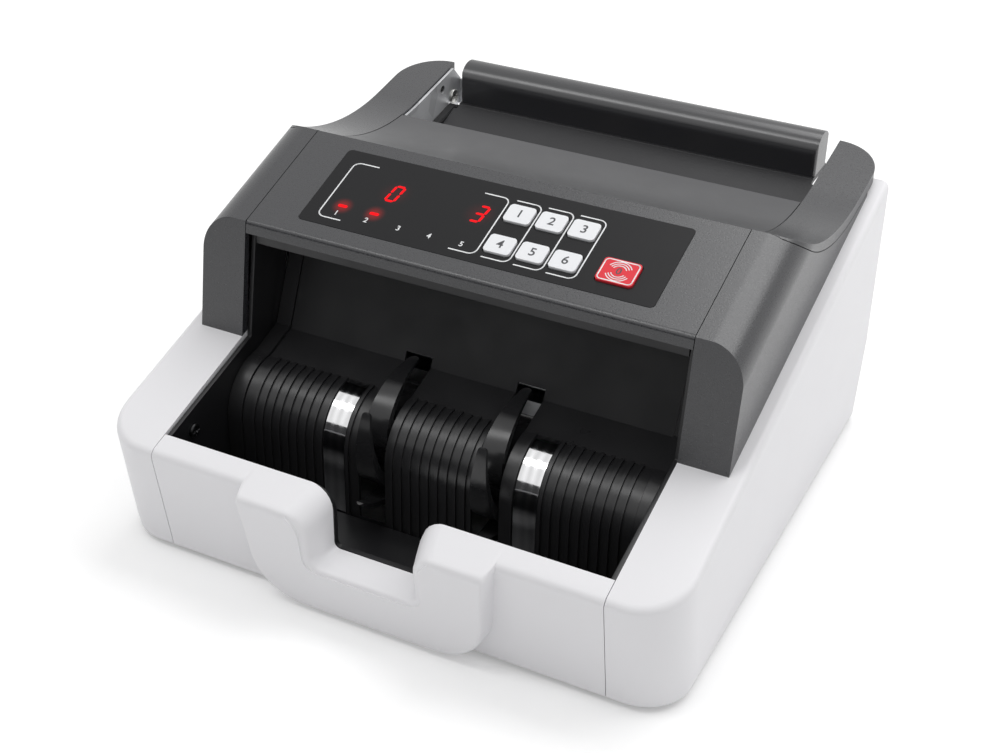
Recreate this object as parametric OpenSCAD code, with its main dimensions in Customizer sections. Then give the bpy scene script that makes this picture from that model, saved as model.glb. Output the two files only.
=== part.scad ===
// Banknote counter for a counter top: hopper at the back, control panel on top, stacker tray in front.
// Millimetres, +Z up, the operator stands at -Y, the part rests on z = 0 and is centred on X and Y.

/* [Base casing] */
// Width across the two side casings
body_w = 243; // [240:1:250]
// Height of the rubber feet
foot_h = 3; // [2:0.5:4]
// Wall of the moulded plastic pieces
wall = 2.5; // [2:0.1:2.8]
// Width of a side casing, from the front panel's seam to its outer side
casing_w = 27; // [26:0.5:28]
// Height of the tray rim at its front inner edge
rim_h = 54.8; // [53:0.2:57]
// Width of the rim along the front
rim_w = 9.5; // [8.5:0.5:11]
// Angle at which the rim and the tops of the side casings climb to the back
rim_deg = 16; // [15:0.5:16.5]
// Soft edge round the rim
edge_r = 2.8; // [2:0.2:4]
// Round of the upright front corners
corner_r = 20; // [17:1:22]
// Round of the upright back corners
back_corner_r = 4; // [3:0.5:6]
// How far the foot of the front face stands back from its top
front_lean = 7.7; // [5:0.5:9]
// How far the sides draw in below the crease
side_taper = 1.3; // [0.5:0.1:3]
// Distance from the back of the side casings to the front of the hopper bar
back_in = 3.8; // [3:0.2:5]
// Thickness of the steel base plate
base_t = 1.5; // [1.2:0.1:2]

/* [Front panel] */
// How far the middle of the front panel bulges out
bulge_out = 7.2; // [6:0.2:8]
// Half width of the bulge at the rim
bulge_x = 52.8; // [51:0.2:55]
// How much narrower the bulge is at its foot, on each side
bulge_taper = 4; // [2:0.5:5]
// Width of the bulge's flanks
bulge_flank = 2.6; // [2:0.2:4]
// Round of the bulge's lower corners
bulge_r = 18; // [14:1:20]
// Half width of the finger notch at its floor
notch_x = 18.7; // [17:0.5:21]
// Height of the finger notch floor on the tray side
notch_h = 27.8; // [26:0.2:31]
// How far the notch's sides spread towards its outer face
notch_bevel = 3.3; // [2:0.1:4.5]

/* [Tray and stacker] */
// Length of the open tray from the front rim to the legs
tray_len = 54.3; // [53:0.5:58]
// Thickness of the black tray and liner mouldings
liner_t = 2; // [1.6:0.1:2.2]
// Distance of the stacker shaft behind the legs' feet
stacker_back = 3.7; // [2:0.5:5]
// Height of the stacker shaft
stacker_h = 41; // [40.5:0.5:43]
// Radius of the rounded nose of the stacker cover
nose_r = 21; // [19:0.5:22]
// Radius of the stacker wheels at the blade tips
wheel_r = 33.5; // [31:0.5:34]
// Width of a stacker wheel
wheel_w = 10; // [8:0.5:11]
// Distance of a stacker wheel from the middle
wheel_x = 25; // [23:0.5:28]
// Blades on a stacker wheel
blades = 5; // [4:1:6]
// Pitch of the ribs on the stacker cover
rib_pitch = 4; // [3.5:0.5:5]
// Height of the ribs on the stacker cover
rib_h = 0.8; // [0.5:0.1:1]
// Distance of a polished slide strip from the middle
strip_x = 42; // [40:0.5:44]
// Width of a polished slide strip
strip_w = 9.5; // [8:0.5:10]

/* [Shoulders and control panel] */
// Width of a leg seen from the front
shoulder_w = 20; // [18:0.5:21]
// Height of the legs from the rim to the lip of the control panel
leg_rise = 44; // [42:0.5:46]
// Lean of the legs
leg_deg = 8.9; // [7:0.5:10]
// Height of the lip along the front of the control panel
lip_h = 5; // [4:0.5:6]
// Round of the lip's upper edge
lip_r = 2.5; // [2:0.1:3]
// Slope of the control panel
bezel_deg = 18; // [17:0.5:20]
// Length of the control panel along its slope
bezel_len = 57.7; // [57:0.5:61]
// Round of the outer top edge of the shoulders
shoulder_r = 14; // [11:1:15]
// Width of the display film
overlay_w = 150.8; // [150:0.5:160]
// Length of the display film along the slope
overlay_l = 43; // [42:0.5:44]
// Distance of the display film from the lip
overlay_at = 8; // [6.5:0.5:8.5]
// Thickness of the display film
overlay_t = 0.5; // [0.4:0.1:0.8]

/* [Keys] */
// Width of a key
key_w = 11.1; // [10:0.1:11.5]
// Length of a key along the slope
key_l = 9.3; // [8.5:0.1:10]
// Distance between key columns
key_pitch = 13.55; // [13:0.05:14]
// Middle of the first key column
key_x = 8.5; // [7:0.5:10]
// Distance of the lower key row from the lip
key_row_1 = 19.5; // [18.5:0.5:20]
// Distance of the upper key row from the lip
key_row_2 = 37; // [36.5:0.5:38]
// Width of the red key
red_w = 15; // [14:0.5:16]
// Length of the red key along the slope
red_l = 12; // [11:0.5:12.5]
// Middle of the red key
red_x = 56.7; // [56:0.5:59]
// Height of a key above the display film
key_proud = 0.8; // [0.7:0.1:1]
// Travel of a key
key_travel = 0.5; // [0.3:0.1:0.6]

/* [Hopper] */
// Length of the ramp from the panel's crest to the hopper
ramp_len = 68.4; // [66:0.5:70]
// Radius of the hollow of the ramp and the arms
saddle_r = 118; // [114:1:122]
// Depth of the hollow below the crest
saddle_drop = 18.37; // [17.5:0.01:19]
// Climb of the arms towards the back
arm_deg = 9.65; // [8.5:0.5:11]
// Length of the arms from the crest
arm_len = 119.5; // [116:0.5:122]
// Thickness of the arms
arm_t = 5; // [4:0.5:5.5]
// Thickness of the arms' front edge at the crest
arm_edge = 1; // [0.8:0.1:1.5]
// Length of the hopper from the ramp's edge to the back bar
hopper_len = 43.4; // [42:0.5:45]
// Depth of the back bar
bar_d = 17.7; // [16:0.5:20]
// Height of the back bar
bar_h = 18; // [15:0.5:20]
// Height of the hopper floor at the back bar
floor_h = 110.5; // [109:0.5:112]
// Slope of the hopper floor
floor_deg = 20; // [18:1:21]
// Gap between an end of the back bar and the arm beside it
bar_gap = 7.1; // [6.6:0.1:9]

/* [Drive] */
// Radius of the shafts
shaft_r = 3; // [2.5:0.1:3.2]
// Thickness of the steel chassis plates
chassis_t = 1.5; // [1.2:0.1:2]
// Radius of the feed rollers
feed_r = 16; // [15:0.5:16.5]
// Distance of the feed shaft behind the ramp's edge
feed_back = 13.5; // [12.5:0.5:15]
// Distance of the feed shaft below the hopper floor at the back bar
feed_drop = 27.2; // [27:0.2:28]
// Radius of the transport rollers
transport_r = 20; // [18:0.5:20.5]
// Distance of the transport shaft behind the crest
transport_back = 23; // [21:0.5:25]
// Distance of the transport shaft below the top of the side casings
transport_drop = 24.9; // [24:0.1:26]
// Radius of the pinch rollers
pinch_r = 10; // [8:0.5:10.5]
// Direction of the pinch shaft from the transport shaft, off upright
pinch_deg = 15; // [10:1:20]
// Radius of the motor
motor_r = 18; // [15:0.5:19]
// Height of the motor shaft
motor_h = 30; // [28:0.5:32]
// Distance of the motor shaft behind the crest
motor_back = 50; // [48:1:56]
// Pitch radius of the motor pulley
motor_pulley_r = 8; // [6:0.5:9]
// Pitch radius of the feed and stacker pulleys
small_pulley_r = 10; // [8:0.5:11]
// Pitch radius of the transport pulley
transport_pulley_r = 14; // [12:0.5:15]
// Thickness of a drive belt
belt_t = 1.4; // [1:0.1:1.6]

/* [Clearances] */
// Seam between two mouldings
seam = 0.3; // [0.2:0.05:0.4]
// Gap between a moving piece and what it passes
run = 0.4; // [0.3:0.05:0.5]
// Radial play of a shaft in its bush
shaft_play = 0.05; // [0.02:0.01:0.08]

/* [Hidden] */
$fn = 48;
far = 600;

// Places along Y, from the front of the bulge to the back of the hopper bar.
lip_back = leg_rise * tan(leg_deg);
lip_lean = lip_h * tan(leg_deg);
bezel_d = bezel_len * cos(bezel_deg);
total_d = bulge_out + rim_w + tray_len + lip_back + lip_lean + bezel_d + ramp_len + hopper_len + bar_d;
front_y = -total_d / 2 + bulge_out;
tray_y = front_y + rim_w;
leg_y = tray_y + tray_len;
lip_y = leg_y + lip_back;
bezel_y = lip_y + lip_lean;
crest_y = bezel_y + bezel_d;
ramp_y = crest_y + ramp_len;
arm_y = crest_y + arm_len;
bar_y = ramp_y + hopper_len;
back_y = bar_y - back_in;

// Places along Z.
base_top = foot_h + base_t;
function rim_z(y) = rim_h + (y - tray_y) * tan(rim_deg);
leg_z = rim_z(leg_y);
lip_z = leg_z + leg_rise;
bezel_z = lip_z + lip_h;
crest_z = bezel_z + bezel_len * sin(bezel_deg);

// The hollow that the ramp and the arms share: its centre, and where it runs out into the arms' slope.
saddle_deg = acos(1 - saddle_drop / saddle_r);
saddle_y = crest_y + saddle_r * sin(saddle_deg);
saddle_z = crest_z + saddle_r * cos(saddle_deg);
tail_y = saddle_y + saddle_r * sin(arm_deg);
tail_z = saddle_z - saddle_r * cos(arm_deg);
function saddle_top(y) = y > tail_y ? tail_z + (y - tail_y) * tan(arm_deg)
    : saddle_z - sqrt(saddle_r * saddle_r - (y - saddle_y) * (y - saddle_y));

// The arms' underside: a rounder hollow, arm_edge below the crest and arm_t below the lowest place.
edge_drop = saddle_r * cos(saddle_deg) + arm_edge;
under_dz = (pow(edge_drop, 2) + pow(saddle_r * sin(saddle_deg), 2) - pow(saddle_r + arm_t, 2)) / (2 * (saddle_r + arm_t - edge_drop));
under_r = saddle_r + arm_t + under_dz;

// Places along X.
seam_x = body_w / 2 - casing_w;
liner_x = seam_x - seam / 2 - liner_t;
chassis_x = liner_x - 2.7 - chassis_t;
cover_x = chassis_x - 3;
shoulder_x = seam_x + shoulder_w;
arm_x = seam_x - 0.7;
bar_x = arm_x - bar_gap;

// Shafts, each as [y, z].
stacker_c = [leg_y + stacker_back, stacker_h];
feed_c = [ramp_y + feed_back, floor_h - feed_drop];
transport_h = rim_z(crest_y + transport_back) - transport_drop;
transport_c = [crest_y + transport_back, transport_h];
pinch_c = transport_c + (transport_r + pinch_r + run) * [sin(pinch_deg), cos(pinch_deg)];
motor_c = [crest_y + motor_back, motor_h];
bush_r = shaft_r + 2;
bush_flange_r = bush_r + 1.5;

// A flat outline in the Y-Z plane, carried from x0 along +X.
module along_x(x0, len) {
    translate([x0, 0, 0]) rotate([90, 0, 90]) linear_extrude(len) children();
}

// A straight strip of thickness t through the points, with round ends and joints.
module strip(points, t) {
    for (i = [0:len(points) - 2]) {
        a = points[i];
        d = points[i + 1] - a;
        translate(a) rotate(atan2(d[1], d[0])) translate([0, -t / 2]) square([norm(d), t]);
    }
    for (p = points) translate(p) circle(d = t);
}

// A rectangle with round corners, centred.
module rounded(w, l, r) {
    square([w - 2 * r, l], center = true);
    square([w, l - 2 * r], center = true);
    for (x = [-1, 1], y = [-1, 1]) translate([x * (w / 2 - r), y * (l / 2 - r)]) circle(r);
}

module both_sides() {
    children();
    mirror([1, 0, 0]) children();
}

// Moves to the control panel's own plane: x across, y up the slope from the lip, z out of the panel.
module on_bezel() {
    translate([0, bezel_y, bezel_z]) rotate([bezel_deg, 0, 0]) children();
}

// The base casing's outer form, drawn in by w, in levels from the foot to the top of the rim.
// A level is [how far its sides, front and back stand in, height at the tray's front edge, slope, narrowing of the bulge].
function arc_points(c, r, a, n) = [for (i = [0:n]) c + r * [cos(a + 90 * i / n), sin(a + 90 * i / n)]];
function swell(t) = t <= 0 ? 0 : t >= 1 ? 1 : 1 - pow(1 - t, 3);
crease_z = foot_h + 4.5;
crease_slope = 0.155;
edge_steps = 5;
levels = concat(
    [[side_taper, front_lean, 0, foot_h, 0, bulge_taper], [0, front_lean * 0.92, 0, crease_z, crease_slope, bulge_taper * 0.9]],
    [for (i = [0:edge_steps]) let (a = 90 * i / edge_steps, in_r = edge_r * (1 - cos(a)))
        [0.6 + in_r, in_r, in_r, rim_h - edge_r * (1 - sin(a)), tan(rim_deg), 0]]);
level_n = len(levels);
function at_level(p, l, w) = [p[0], p[1], l[3] + (p[1] - tray_y) * l[4] - (l[4] > 0 ? w : 0)];
seam_in = seam_x + seam / 2;
function side_chain(l, w) = let (hw = body_w / 2 - l[0] - w, yf = front_y + l[1] + w, yr = back_y - l[2] - w,
    rf = corner_r - min(l[0], l[1]) - w, rr = max(seam, back_corner_r - min(l[0], l[2]) - w))
    [for (p = concat([[seam_in, yf]], arc_points([hw - rf, yf + rf], rf, 270, 10),
        arc_points([hw - rr, yr - rr], rr, 0, 6), [[seam_in, yr]])) at_level(p, l, w)];
// The casing's shell as one closed form: outer and inner levels, tops, foot and the cut face at the seam.
module side_shell() {
    chains = concat([for (l = levels) side_chain(l, 0)], [for (l = levels) side_chain(l, wall)]);
    n = len(chains[0]);
    e = n - 1;
    top = (level_n - 1) * n;
    inner = level_n * n;
    walls = [for (i = [0:level_n - 2], j = [0:n - 2]) let (a = i * n + j, b = a + inner)
        each [[a, a + n, a + n + 1], [a, a + n + 1, a + 1], [b, b + n + 1, b + n], [b, b + 1, b + n + 1]]];
    tops = [[for (j = [e:-1:0]) top + j], [for (j = [0:e]) inner + top + j]];
    foot = [for (j = [0:n - 2]) [j, j + 1, inner + j + 1, inner + j]];
    cut = [for (i = [0:level_n - 2]) let (a = i * n, b = a + inner)
        each [[a, b, b + n, a + n], [a + e, a + n + e, b + n + e, b + e]]];
    polyhedron([for (c = chains) each c],
        concat(walls, tops, foot, cut, [[top + e, top, inner + top, inner + top + e]]));
}

// The front panel's block: front levels with the bulge, then the top and back edges at the tray.
// Extra levels between the foot, the crease and the rim carry the round of the bulge's lower corners.
function blend(i, t) = levels[i] * (1 - t) + levels[i + 1] * t;
panel_levels = concat([for (t = [0, 0.25, 0.6, 1]) blend(0, t)], [for (t = [0.05, 0.12, 0.22, 0.36]) blend(1, t)],
    [for (i = [2:level_n - 1]) levels[i]]);
function corner_in(h) = h >= bulge_r ? 0 : bulge_r - sqrt(pow(bulge_r, 2) - pow(bulge_r - h, 2));
function bulge_half(l) = bulge_x - l[5] - corner_in(max(0, l[3] - rim_w * l[4] - foot_h));
flank_steps = 5;
function half_xs(h) = concat([for (k = [0:flank_steps]) h - bulge_flank * k / flank_steps], [(h - bulge_flank) / 2]);
function panel_xs(h) = let (r = half_xs(h)) concat([seam / 2 - seam_x], -r, [0], [for (k = [len(r) - 1:-1:0]) r[k]],
    [seam_x - seam / 2]);
module panel_block() {
    front = [for (l = panel_levels) let (h = bulge_half(l)) [for (x = panel_xs(h))
        at_level([x, front_y + l[1] - bulge_out * swell((h - abs(x)) / bulge_flank)], l, 0)]];
    rows = concat(front, [[for (p = front[len(front) - 1]) [p[0], tray_y, rim_h]], [for (p = front[0]) [p[0], tray_y, foot_h]]]);
    n = len(rows[0]);
    m = len(rows);
    skin = [for (i = [0:m - 1], j = [0:n - 2]) let (a = i * n + j, b = ((i + 1) % m) * n + j)
        each [[a, b, b + 1], [a, b + 1, a + 1]]];
    last = (m - 1) * n;
    ends = [for (i = [0:m - 3]) each [[last, i * n + n, i * n], [last + n - 1, i * n + n - 1, i * n + 2 * n - 1]]];
    polyhedron([for (r = rows) each r], concat(skin, ends));
}

// Finger notch: a slot with round corners and round shoulders at the rim, opening out towards the front.
notch_r = 2.5;
notch_shoulder_r = 10;
notch_fall = 0.75;
function turn(c, r, a0, a1) = [for (i = [0:6]) let (a = a0 + (a1 - a0) * i / 6) c + r * [cos(a), sin(a)]];
function notch_outline(x, z0, z1, r) = concat(
    [[0, z1 + far / 8], [-x - notch_shoulder_r, z1 + far / 8]],
    turn([-x - notch_shoulder_r, z1 - notch_shoulder_r], notch_shoulder_r, 90, 0),
    turn([r - x, z0 + r], r, 180, 270), turn([x - r, z0 + r], r, 270, 360),
    turn([x + notch_shoulder_r, z1 - notch_shoulder_r], notch_shoulder_r, 180, 90),
    [[x + notch_shoulder_r, z1 + far / 8]]);
function lean_at(z) = front_lean * 0.92 * max(0, min(1, (rim_h - edge_r - z) / (rim_h - edge_r - crease_z)));
function notch_ring(y, grow, lean) = let (half = notch_x + grow, low = notch_h - grow * notch_fall)
    [for (p = notch_outline(half, low, rim_z(y) + seam / 2, notch_r + grow / 2)) [p[0], y + lean * lean_at(p[1]), p[1]]];
notch_edge_r = 3;
module notch_cut() {
    outer_y = front_y - bulge_out;
    inner = [[tray_y + liner_t + 1, 0, 0], [tray_y - 3, notch_bevel * 0.2, 0], [front_y, notch_bevel * 0.7, 0.4]];
    edge = [for (a = [0, 25, 50, 70, 90])
        [outer_y + notch_edge_r * (1 - sin(a)), notch_bevel + notch_edge_r * (1 - cos(a)), 1]];
    places = concat(inner, edge, [[outer_y - 4, notch_bevel + notch_edge_r * 2, 0]]);
    rings = [for (p = places) notch_ring(p[0], p[1], p[2])];
    n = len(rings[0]);
    m = len(rings);
    sides = [for (i = [0:m - 2], j = [0:n - 1]) let (k = (j + 1) % n)
        each [[i * n + j, i * n + n + j, i * n + n + k], [i * n + j, i * n + n + k, i * n + k]]];
    polyhedron([for (r = rings) each r],
        concat(sides, [[for (j = [0:n - 1]) j]], [[for (j = [n - 1:-1:0]) (m - 1) * n + j]]));
}

module base_plate() {
    color("silver") difference() {
        translate([0, (tray_y + 2 + back_y - wall - seam) / 2, foot_h]) linear_extrude(base_t)
            rounded(body_w - 2 * (side_taper + wall + 1), back_y - wall - seam - tray_y - 2, corner_r);
        for (x = [-1, 1], y = screw_ys) translate([x * screw_x, y, 0]) cylinder(r = 1.5 + run, h = far);
        for (x = [-1, 1], y = [tray_y + 20, back_y - 25])
            translate([x * (seam_x - 10), y, 0]) cylinder(r = 2, h = far);
    }
}

module rubber_feet() {
    color("dimgray") for (x = [-1, 1], y = [tray_y + 20, back_y - 25]) translate([x * (seam_x - 10), y, 0]) {
        rotate_extrude() polygon([[0, 0], [8, 0], [9, foot_h], [0, foot_h]]);
        cylinder(r = 2 - shaft_play, h = foot_h + base_t);
    }
}

// Right side casing, with the posts that the base plate is screwed to; the left one is its mirror image.
screw_x = seam_x + 10;
screw_ys = [leg_y + 14, crest_y + 20, back_y - 30];
module side_casing() {
    color("whitesmoke") {
        side_shell();
        for (y = screw_ys) difference() {
            union() {
                translate([screw_x, y, base_top]) cylinder(r = 4.5, h = 14);
                translate([screw_x, y - 1, base_top]) cube([body_w / 2 - side_taper - wall / 2 - screw_x, 2, 12]);
            }
            translate([screw_x, y, 0]) cylinder(r = 1.5, h = base_top + 11);
        }
    }
}
module side_casing_right() { side_casing(); }
module side_casing_left() { mirror([1, 0, 0]) side_casing(); }

// Front panel: the casing's middle with its bulge, cut through by the notch.
module front_panel() {
    color("white") difference() {
        panel_block();
        notch_cut();
    }
}

inlet_w = 27.5;
inlet_h = 20;
inlet_c = [chassis_x - inlet_w / 2 - 12.4, 34];
rocker_w = 13;
rocker_h = 19;
rocker_c = [24, 34];
module rear_panel() {
    color("white") difference() {
        translate([-seam_x + seam / 2, back_y - wall, foot_h]) cube([2 * seam_x - seam, wall, panel_top - foot_h]);
        translate([inlet_c[0], back_y, inlet_c[1]]) cube([inlet_w, far, inlet_h], center = true);
        translate([rocker_c[0], back_y, rocker_c[1]])
            cube([rocker_w + 2 * run, far, rocker_h + 2 * run], center = true);
        for (i = [0:9]) translate([-75 + 7 * i, back_y - far / 2, 30]) cube([3, far, 26]);
    }
}

// The space above the hollow, or above a copy of it whose centre is dz higher, of radius r and t below the arms' slope.
module above_hollow(dz, r, t) {
    difference() {
        translate([saddle_y, saddle_z + dz]) circle(r, $fn = 180);
        translate([tail_y, 0]) square(far);
    }
    translate([tail_y, tail_z]) rotate(arm_deg) translate([-0.2 * t, -t]) square(far / 2);
}

// Right shoulder: leg, outer side and rounded top edge in one moulding, open to the inside.
shoulder_end = arm_y - 25;
module shoulder_outline(w) {
    difference() {
        polygon([[leg_y + w, leg_z - (w > 0 ? 4 * w : 0)], [bezel_y + w, bezel_z - w * 0.7],
            [crest_y - w * 0.3, crest_z - w], [shoulder_end - w, crest_z],
            [shoulder_end - w, rim_z(shoulder_end) - (w > 0 ? 4 * w : 0)]]);
        intersection() {
            translate([crest_y - w, 0]) square(far);
            above_hollow(under_dz, under_r + seam + w, arm_t + seam + w);
        }
    }
}
module shoulder_sweep(w) {
    x1 = shoulder_x - w;
    r = shoulder_r - w;
    translate([0, 0, -w]) on_bezel() {
        translate([seam_x - 5, -far / 2, -far]) cube([x1 - r - seam_x + 5, far, far]);
        translate([seam_x - 5, -far / 2, -far - r]) cube([x1 - seam_x + 5, far, far]);
        translate([x1 - r, far / 2, -r]) rotate([90, 0, 0]) cylinder(r = r, h = far);
    }
}
module shoulder() {
    color("dimgray") difference() {
        intersection() {
            along_x(seam_x + seam / 2, shoulder_w) shoulder_outline(0);
            shoulder_sweep(0);
        }
        intersection() {
            along_x(seam_x - 1, shoulder_w + 1 - wall) shoulder_outline(wall);
            shoulder_sweep(wall);
        }
    }
}
module shoulder_right() { shoulder(); }
module shoulder_left() { mirror([1, 0, 0]) shoulder(); }

// Keys: [x, y up the slope, width, length].
key_list = [for (row = [key_row_2, key_row_1], col = [0:2]) [key_x + col * key_pitch, row, key_w, key_l]];
red_key = [red_x, key_row_1 + 1, red_w, red_l];
all_keys = concat(key_list, [red_key]);
key_corner = 1.6;
cover_t = 3;
board_gap = 9;
board_t = 1.6;
display_x = [-69, 0.3];
display_y = [15, 43];
module key_window(k, extra) {
    translate([k[0], k[1]]) rounded(k[2] + 2 * extra, k[3] + 2 * extra, key_corner + extra);
}
lip_turn = 90 - leg_deg - bezel_deg;
lip_c = [bezel_y, bezel_z] - lip_r * tan(lip_turn / 2) * [sin(leg_deg), cos(leg_deg)] + lip_r * [cos(leg_deg), -sin(leg_deg)];
function cover_under(y) = bezel_z + (y - bezel_y) * tan(bezel_deg) - cover_t / cos(bezel_deg);
module control_cover() {
    color("dimgray") difference() {
        union() {
            along_x(-seam_x + seam / 2, 2 * seam_x - seam) intersection() {
                polygon(concat([[lip_y, lip_z]], turn(lip_c, lip_r, 180 - leg_deg, 90 + bezel_deg), [[crest_y, crest_z],
                    [crest_y, cover_under(crest_y)], [lip_y + cover_t, cover_under(lip_y + cover_t)], [lip_y + cover_t, lip_z]]));
                translate([-far, 0]) square([far + crest_y - seam / 2, far]);
            }
            // Bosses that the control board is screwed to.
            on_bezel() for (x = [-1, 1], y = [overlay_at + 4, overlay_at + overlay_l - 4])
                translate([x * (overlay_w / 2 - 5.4), y, -board_gap]) cylinder(r = 2.5, h = board_gap - cover_t / 2);
        }
        on_bezel() {
            translate([0, overlay_at + overlay_l / 2, -overlay_t + 0.1]) linear_extrude(far)
                rounded(overlay_w + seam, overlay_l + seam, 2 + seam / 2);
            translate([0, 0, -cover_t * 2]) linear_extrude(far) for (k = all_keys) key_window(k, run);
            translate([display_x[0], display_y[0], -cover_t * 2])
                cube([display_x[1] - display_x[0], display_y[1] - display_y[0], far]);
        }
    }
}

module display_overlay() {
    color("black") on_bezel() translate([0, 0, -overlay_t + 0.1]) linear_extrude(overlay_t) difference() {
        translate([0, overlay_at + overlay_l / 2]) rounded(overlay_w, overlay_l, 2);
        for (k = all_keys) key_window(k, run);
    }
}

// A key: cap above the film, stem through the cover, flange that stops against its underside.
module key_piece(k) {
    on_bezel() translate([k[0], k[1], 0]) {
        translate([0, 0, -cover_t - 1]) linear_extrude(cover_t + 1.1 + key_proud) rounded(k[2], k[3], key_corner);
        translate([0, 0, -cover_t - 1.4]) linear_extrude(1.2) rounded(k[2] + 1.9, k[3] + 1.9, key_corner);
        translate([0, 0, -board_gap + 1.5 + key_travel + run]) cylinder(r = 1.8, h = board_gap - cover_t - 2);
    }
}
module key_1() { color("white") key_piece(key_list[0]); }
module key_2() { color("white") key_piece(key_list[1]); }
module key_3() { color("white") key_piece(key_list[2]); }
module key_4() { color("white") key_piece(key_list[3]); }
module key_5() { color("white") key_piece(key_list[4]); }
module key_6() { color("white") key_piece(key_list[5]); }
module key_red() { color("crimson") key_piece(red_key); }

module control_board() {
    color("darkgreen") on_bezel() {
        translate([-overlay_w / 2 + 1, overlay_at - 2, -board_gap - board_t]) cube([overlay_w - 2, overlay_l + 3, board_t]);
        for (k = all_keys) translate([k[0] - 3, k[1] - 3, -board_gap]) cube([6, 6, 1.5]);
    }
}

// Two counting displays and a row of lamps, standing on the board behind the film.
module digit_display() {
    color("darkred") on_bezel() translate([0, 0, -board_gap]) {
        for (x = [display_x[0] + 2, display_x[0] + 37]) translate([x, display_y[0] + 9, 0])
            cube([31, display_y[1] - display_y[0] - 11, board_gap - overlay_t - 0.2]);
        for (i = [0:4]) translate([-61.5 + 13.9 * i, display_y[0] + 4.5, 0])
            cylinder(r = 2, h = board_gap - overlay_t - 0.2);
    }
}

// Section of a plate of thickness t that follows the hollow, between the places y0 and y1.
module saddle_section(t, y0, y1) {
    intersection() {
        translate([y0, 0]) square([y1 - y0, far]);
        union() {
            difference() {
                translate([saddle_y, saddle_z]) circle(saddle_r + t, $fn = 180);
                translate([saddle_y, saddle_z]) circle(saddle_r, $fn = 180);
                translate([tail_y, 0]) square(far);
                translate([-far, saddle_z - saddle_r * 0.5]) square(2 * far);
            }
            translate([tail_y, tail_z]) rotate(arm_deg) translate([0, -t]) square([far, t]);
            translate([tail_y, tail_z]) rotate(arm_deg) translate([-t, -t]) square([t + 0.1, t - 0.02]);
        }
    }
}

module hopper_ramp() {
    half = arm_x - seam / 2;
    color("gray") {
        along_x(-half, 2 * half) saddle_section(wall, crest_y + seam / 2, ramp_y);
        along_x(-chassis_x + seam, 2 * (chassis_x - seam)) translate([ramp_y - wall, floor_h - 13])
            square([wall, saddle_top(ramp_y) - floor_h + 12]);
    }
}

// Right arm: plate between the hollow and its underside, its outer edge following the shoulder's round.
module hopper_arm() {
    back_r = 20;
    x1 = shoulder_x;
    y0 = crest_y + seam / 2;
    color("gray") intersection() {
        along_x(arm_x + seam / 2, far) difference() {
            intersection() {
                above_hollow(under_dz, under_r, arm_t);
                polygon([[y0, rim_z(y0) + seam], [arm_y, rim_z(arm_y) + seam], [arm_y, far], [y0, far]]);
            }
            above_hollow(0, saddle_r, 0);
        }
        linear_extrude(far) {
            translate([arm_x, y0]) square([x1 - arm_x - back_r, arm_y - y0]);
            translate([arm_x, y0]) square([x1 - arm_x, arm_y - y0 - back_r]);
            translate([x1 - back_r, arm_y - back_r]) circle(back_r);
        }
        shoulder_sweep(0);
    }
}
module hopper_arm_right() { hopper_arm(); }
module hopper_arm_left() { mirror([1, 0, 0]) hopper_arm(); }

// Hopper floor: slopes down to the feed rollers, with a shelf under the back bar.
floor_front = ramp_y + 8;
floor_t = 2.5;
panel_top = floor_h - (floor_t + (back_in + wall) * sin(floor_deg)) / cos(floor_deg) - 2 * seam;
feed_x = [-22, 22];
feed_w = 14;
module hopper_floor() {
    color("dimgray") difference() {
        along_x(-chassis_x, 2 * chassis_x) {
            translate([bar_y, floor_h]) rotate(floor_deg) translate([-(bar_y - floor_front) / cos(floor_deg), -floor_t])
                square([(bar_y - floor_front) / cos(floor_deg), floor_t]);
            translate([bar_y - 1, floor_h - floor_t]) square([bar_d + 1, floor_t]);
        }
        for (x = feed_x) along_x(x - feed_w / 2 - 1, feed_w + 2) translate(feed_c) circle(feed_r + 1);
        for (x = [-1, 1]) translate([x * (bar_x + 6), back_y + far / 2, 0]) cube([12, far, far], center = true);
    }
}

// Back bar: a hollow beam with a round top, screwed down on the floor's shelf.
module bar_section(w) {
    r = bar_d / 2 - seam;
    translate([bar_y + w, floor_h - w]) square([bar_d - 2 * w, bar_h - r + w]);
    translate([bar_y + r, floor_h]) square([bar_d - 2 * r, bar_h - w]);
    for (y = [bar_y + r, bar_y + bar_d - r]) translate([y, floor_h + bar_h - r]) circle(r - w);
}
module hopper_back_bar() {
    color("dimgray") difference() {
        intersection() {
            along_x(-bar_x, 2 * bar_x) bar_section(0);
            translate([0, bar_y + bar_d / 2, 0]) linear_extrude(far) rounded(2 * bar_x, bar_d, 2);
        }
        along_x(-bar_x + wall, 2 * (bar_x - wall)) bar_section(wall);
    }
}

// Galvanised bracket at the hopper's left: flange on the chassis plate, step outwards, and plate along the arm.
bracket_t = 1.2;
bracket_low = 1;
bracket_out = arm_x - seam / 2;
module hopper_bracket() {
    x0 = chassis_x + chassis_t;
    y0 = ramp_y + 2;
    y1 = back_y - wall - 1;
    y2 = bar_y + 4;
    step_z = floor_h - 8;
    shelf_z = panel_top + 2 * seam;
    top = [for (i = [0:8]) let (y = y2 + (y0 - y2) * i / 8) [y, saddle_top(y) - bracket_low]];
    color("silver") {
        along_x(-x0 - bracket_t, bracket_t) translate([y0, step_z - 10]) square([y1 - y0, 10]);
        along_x(-bracket_out, bracket_out - x0) translate([y0, step_z - bracket_t]) square([y1 - y0, bracket_t]);
        along_x(-bracket_out, bracket_t) difference() {
            polygon(concat([[y0, step_z - bracket_t], [y1, step_z - bracket_t], [y1, shelf_z], [y2 + 7, shelf_z],
                [y2 + 7, saddle_top(y2) - bracket_low - 7]], top));
            translate([bar_y - 7, saddle_top(bar_y - 7) - 6]) circle(2);
        }
    }
}

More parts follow.
